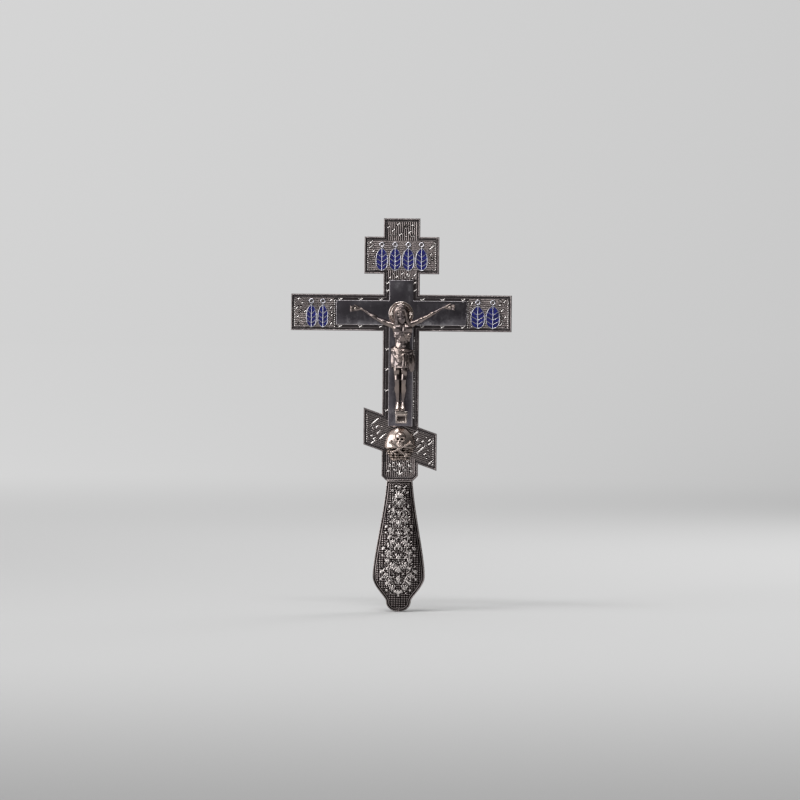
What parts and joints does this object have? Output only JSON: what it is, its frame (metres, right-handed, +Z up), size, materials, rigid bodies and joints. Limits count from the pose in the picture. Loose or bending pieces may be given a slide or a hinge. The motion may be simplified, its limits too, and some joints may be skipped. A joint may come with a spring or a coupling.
{
  "type": "blessing cross",
  "caption": "Hand-held three-bar blessing cross with a raised corpus, halo, skull mound, enamelled ornaments and a swelling two-part grip.",
  "frame": {"origin": "middle of the grip's length on its axis, half way through the cross's plate, where a hand holds it", "axes": "+Z up the shaft to the top of the cross, +X to the viewer's right, and the front with the figure faces -Y"},
  "size_m": [0.1684, 0.0225, 0.3001],
  "materials": {
    "dark_silver": "silver-plated casting, antiqued dark, ribbed ground with worn high edges",
    "polished_silver": "plain plate polished to a dark mirror",
    "grip_silver": "silver-plated casting with ribs and foliate scrolls, antiqued",
    "warm_silver": "silver-plated casting with a thin warm gilt wash, polished",
    "mound_silver": "polished dome over dull rocks, thin warm gilt wash",
    "pin_silver": "polished heads",
    "cell_silver": "bright silver walls",
    "cobalt_enamel": "glossy translucent cobalt blue vitreous enamel"
  },
  "bodies": {
    "root": {"cross_body": "dark_silver", "overlay_cross": "polished_silver", "handle_front_shell": "grip_silver", "handle_back_shell": "grip_silver", "corpus": "warm_silver", "halo": "warm_silver", "footrest": "warm_silver", "golgotha_mound": "mound_silver", "hand_pin_left": "pin_silver", "hand_pin_right": "pin_silver", "foot_pin_left": "pin_silver", "foot_pin_right": "pin_silver", "upper_cell_1": "cell_silver", "upper_enamel_1": "cobalt_enamel", "upper_cell_2": "cell_silver", "upper_enamel_2": "cobalt_enamel", "upper_cell_3": "cell_silver", "upper_enamel_3": "cobalt_enamel", "upper_cell_4": "cell_silver", "upper_enamel_4": "cobalt_enamel", "left_cell_1": "cell_silver", "left_enamel_1": "cobalt_enamel", "left_cell_2": "cell_silver", "left_enamel_2": "cobalt_enamel", "right_cell_1": "cell_silver", "right_enamel_1": "cobalt_enamel", "right_cell_2": "cell_silver", "right_enamel_2": "cobalt_enamel"}
  },
  "joints": []
}
